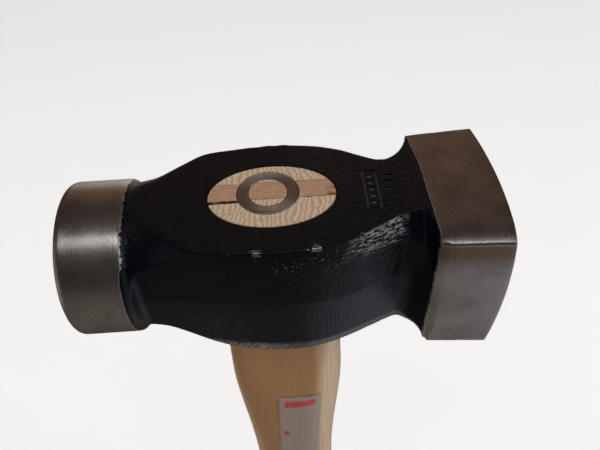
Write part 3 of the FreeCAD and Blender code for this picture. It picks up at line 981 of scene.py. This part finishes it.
# The ash. Lengths are in millimetres.
RING_PITCH = 1.35
HEART_BAND = (16.5, 10.5)  # how far from its middle the heart, darkened by painted shade, starts, and is full
HANDLE_FRONT = [("y", -4.0, -9.0)]
CUT_END = [("up", -1.0, -0.4)]
SAPWOOD = (0.56, 0.40, 0.24, 1), (0.66, 0.50, 0.32, 1)
# Heartwood, made darker with painted shade where the head shadows the handle's front.
HEARTWOOD_AND_SHADE = (0.34, 0.16, 0.04, 1)
LATE_WOOD = (0.33, 0.19, 0.085, 1)
FIBRES = (0.40, 0.26, 0.13, 1)
PORES = (0.22, 0.13, 0.06, 1)
END_WOOD, LATE_END_WOOD = (0.69, 0.53, 0.375, 1), (0.38, 0.245, 0.145, 1)
SAWN = (0.40, 0.26, 0.16, 1)


def ash_material(handle):
    """Clear-finished ash, with growth rings across x and the grain along the handle, and a dark heart down
    the middle of its front that is partly painted shade from the head.
    """
    m = Surface("ash_wood", Coat_Weight=0.25, Coat_Roughness=0.25)
    shifted = m.calc("MULTIPLY_ADD", m.noise((14.0, 14.0, 90.0)), 9.0, m.x)
    bowed = m.calc("MULTIPLY_ADD", m.times(m.y, m.y), 0.012, shifted)
    ragged = m.calc("MULTIPLY_ADD", m.noise((2.4, 2.4, 60.0), detail=3), 1.3, bowed)
    phase = m.calc("FRACT", m.calc("DIVIDE", ragged, RING_PITCH))
    late_wood = m.times(m.fade(phase, 0.15, 0.9), m.fade(phase, 1.0, 0.9))
    fibres = m.noise((0.14, 0.14, 7.0), detail=3, roughness=0.65)
    clouds = m.noise((6.0, 6.0, 40.0))
    pores = m.spots((0.22, 0.22, 5.0), 0.63, 0.7)
    # The heart on the front only: partly painted shade from the head.
    heart_and_shade = m.times(m.fade(m.calc("ABSOLUTE", shifted), *HEART_BAND), m.zone(HANDLE_FRONT))
    wood = m.colour(heart_and_shade, m.colour(clouds, *SAPWOOD), HEARTWOOD_AND_SHADE)
    wood = m.colour(m.times(late_wood, 0.3), wood, LATE_WOOD)
    wood = m.colour(m.times(fibres, 0.2), wood, FIBRES)
    wood = m.colour(m.times(pores, 0.45), wood, PORES)
    cut_end = m.zone(CUT_END)
    sawn = m.noise((0.5, 1.3, 1.0), detail=4, roughness=0.7)
    end_wood = m.colour(m.times(late_wood, 0.68), END_WOOD, LATE_END_WOOD)
    end_wood = m.colour(m.fade(sawn, 0.5, 0.72), end_wood, SAWN)
    m.dress(
        handle,
        Base_Color=m.colour(cut_end, wood, end_wood),
        Roughness=m.number(cut_end, 0.4, 0.75),
        Normal=m.bump(m.number(cut_end, m.number(0.5, fibres, late_wood), sawn), 0.08),
    )


# The wooden wedge.
WEDGE_GRAIN = (0.36, 0.195, 0.11, 1), (0.58, 0.36, 0.23, 1)
CRUSHED = (0.20, 0.075, 0.035, 1)
SEAM = (0.075, 0.03, 0.015, 1)
WEDGE_PORES = (0.10, 0.055, 0.03, 1)
CRUSHED_SIDES = (2.7, 3.3)  # from the wedge's middle
RIGHT_END = [("x", 12.8, 14.6)]
FRONT_SEAM = [("y", WEDGE_Y - 2.75, WEDGE_Y - 3.0)]


def wedge_material(wedge):
    """Brown hardwood, crushed along its sides and at its right end, with a dark seam at its front."""
    m = Surface("hardwood")
    grain = m.noise((2.6, 0.35, 3.5), detail=5, roughness=0.75)
    aside = m.calc("ABSOLUTE", m.calc("SUBTRACT", m.y, WEDGE_Y))
    crushed = m.calc("MAXIMUM", m.fade(aside, *CRUSHED_SIDES), m.zone(RIGHT_END))
    crushed = m.times(crushed, m.spots((5.0, 2.0, 5.0), 0.4, 0.65, detail=3))
    seam = m.times(m.zone(FRONT_SEAM), m.spots((1.6, 0.6, 2.0), 0.42, 0.50, detail=4, roughness=0.7))
    pores = m.spots((0.45, 0.35, 2.0), 0.60, 0.68)
    wood = m.colour(crushed, m.colour(m.fade(grain, 0.3, 0.7), *WEDGE_GRAIN), CRUSHED)
    wood = m.colour(seam, wood, SEAM)
    m.dress(
        wedge,
        Base_Color=m.colour(m.times(pores, 0.7), wood, WEDGE_PORES),
        Roughness=m.number(grain, 0.6, 0.8),
        Normal=m.bump(grain, 0.06),
    )


def ring_material(ring):
    """Bare steel, a little stained and scratched."""
    m = Surface("bare_steel", Metallic=1.0)
    stain = m.noise(2.5, detail=3)
    scratches = m.noise((0.2, 0.2, 3.0), detail=3, roughness=0.7)
    m.dress(
        ring,
        Base_Color=m.colour(stain, (0.44, 0.36, 0.31, 1), (0.68, 0.60, 0.54, 1)),
        Roughness=m.number(scratches, 0.32, 0.6),
        Normal=m.bump(scratches, 0.02),
    )


# The label: its colours, and its prints as (start, end) across it and up from its top.
PAPER = (0.255, 0.195, 0.15, 1), (0.355, 0.275, 0.215, 1)
GREY_PRINT = (0.20, 0.17, 0.17, 1)
RED_PRINT = (0.50, 0.03, 0.03, 1)
BAR_HALF, BAR_UP = (5.3, 5.1), (-7.2, -3.0)
SQUARE_ACROSS, SQUARE_UP = (-5.6, -3.8), (-29.5, -26.0)
LINES_ACROSS, LINES_UP = (-2.9, 4.6), (-46.0, -10.5)
LINE_PITCH = 1.4
LINE_SHARE = (0.35, 0.75)
PRINT_BLUR = 0.1


def label_material(label):
    """Pale film with a red bar across its top and plain grey lines along it."""
    m = Surface("label_film", Coat_Weight=0.3, Coat_Roughness=0.2, Roughness=0.4)
    at = {"Vector": m.place, "Location": (LABEL_X, 0, -LABEL_TOP_DROP)}
    at["Rotation"] = (0, math.radians(-LABEL_TILT), 0)
    on_label = m.node("Mapping", at, vector_type="TEXTURE")
    across, _, up = m.node("SeparateXYZ", {"Vector": on_label}).node.outputs
    aside = m.calc("ABSOLUTE", across)

    def between(value, start, end):
        starts = m.fade(value, start - PRINT_BLUR, start + PRINT_BLUR)
        return m.times(starts, m.fade(value, end + PRINT_BLUR, end - PRINT_BLUR))

    bar = m.times(between(up, *BAR_UP), m.fade(aside, *BAR_HALF))
    square = m.times(between(up, *SQUARE_UP), between(across, *SQUARE_ACROSS))
    line = m.calc("FRACT", m.calc("DIVIDE", m.calc("ADD", aside, 0.6), LINE_PITCH))
    lines = m.times(between(line, *LINE_SHARE), between(across, *LINES_ACROSS), between(up, *LINES_UP))
    mottle = m.noise(3.0, detail=3)
    ruled = m.colour(m.times(lines, 0.55), m.colour(mottle, *PAPER), GREY_PRINT)
    m.dress(
        label,
        Base_Color=m.colour(m.calc("MAXIMUM", bar, square), ruled, RED_PRINT),
        Normal=m.bump(mottle, 0.03),
    )


# ---- build
head = head_mesh()
combine(head, eye_cutter(), "DIFFERENCE")
combine(head, mark_cutter(), "DIFFERENCE")
shade(head, METAL_CREASE)
take_place_of(head, "hammer_head")

handle = handle_mesh()
combine(handle, wedge_slab(WEDGE_GAP), "DIFFERENCE")
combine(handle, ring_slot(), "DIFFERENCE")
shade(handle, WOOD_CREASE)
take_place_of(handle, "handle")

wedge = wedge_mesh()
combine(wedge, ring_slot(), "DIFFERENCE")
shade(wedge, WOOD_CREASE)
take_place_of(wedge, "wooden_wedge")

ring = ring_mesh()
take_place_of(ring, "ring_wedge")

label = label_mesh()
take_place_of(label, "handle_label")

head_material(head)
ash_material(handle)
wedge_material(wedge)
ring_material(ring)
label_material(label)


# ---- studio
def add_camera():
    """The camera. From looking straight down it is rolled, then tilted up, then turned to the right."""
    turned = Matrix.Identity(4)
    for degrees, axis in ((-CAMERA_YAW, "Z"), (90 - CAMERA_PITCH, "X"), (CAMERA_ROLL, "Z")):
        turned = turned @ Matrix.Rotation(math.radians(degrees), 4, axis)
    data = bpy.data.cameras.new("camera")
    data.lens = CAMERA_LENS
    data.sensor_width = CAMERA_SENSOR
    data.clip_start = CAMERA_CLIP
    camera = bpy.data.objects.new("camera", data)
    camera.matrix_world = Matrix.Translation((Vector(CAMERA_AT) + Vector((0, 0, TOP))) * MM) @ turned
    bpy.context.scene.collection.objects.link(camera)
    bpy.context.scene.camera = camera


def add_light(name, at, size, power):
    """A white light from an area, turned to the plateau. Its place and size are in metres."""
    data = bpy.data.lights.new(name, "AREA")
    data.shape = "RECTANGLE"
    data.size, data.size_y = size
    data.energy = power
    light = bpy.data.objects.new(name, data)
    light.location = at
    light.rotation_mode = "QUATERNION"
    light.rotation_quaternion = (Vector((0, 0, TOP * MM)) - Vector(at)).to_track_quat("-Z", "Y")
    light.visible_camera = False
    bpy.context.scene.collection.objects.link(light)
    return light


def add_backdrop():
    """A pale floor, and a pale wall round it that only the camera sees."""
    corners = [(FLOOR_RADIUS * math.cos(a), FLOOR_RADIUS * math.sin(a)) for a in circle(FLOOR_SIDES)]
    points, faces = prism(corners, BUTT - TOP, WALL_TOP - TOP)
    floor = mesh_object("floor", points[:FLOOR_SIDES], [list(range(FLOOR_SIDES))])
    wall = mesh_object("wall", points, faces[:-2])
    for ray in ("diffuse", "glossy", "shadow"):
        setattr(wall, "visible_" + ray, False)
    floor.visible_glossy = False
    for piece, glow in ((floor, FLOOR_GLOW), (wall, WALL_GLOW)):
        m = Surface(piece.name, Roughness=0.9, Emission_Color=grey(1.0), Emission_Strength=glow)
        m.dress(piece, Base_Color=m.colour(m.noise(60.0), grey(0.80), grey(0.84)))


def add_world():
    """A dim room with a few broad glows, which the bright steel and the lacquer reflect."""
    world = bpy.data.worlds.new("studio")
    bpy.context.scene.world = world
    world.use_nodes = True
    tree = world.node_tree
    direction = add_node(tree, "TexCoord", output="Generated")
    colour = ROOM
    for toward, spread, glow in GLOWS:
        both = {0: direction, 1: Vector(toward).normalized()}
        aimed = add_node(tree, "VectorMath", both, output="Value", operation="DOT_PRODUCT")
        limits = {"Value": aimed, "From Min": math.cos(math.radians(spread))}
        share = add_node(tree, "MapRange", limits, interpolation_type="SMOOTHSTEP")
        colour = add_node(tree, "Mix", {0: share, 6: colour, 7: (*glow, 1)}, 2, data_type="RGBA")
    feed(tree, tree.nodes["Background"].inputs["Color"], colour)


add_camera()
add_backdrop()
add_world()
add_light(*KEY)
for fill in FILLS:
    add_light(*fill).visible_glossy = False
bpy.context.scene.view_settings.view_transform = "Standard"
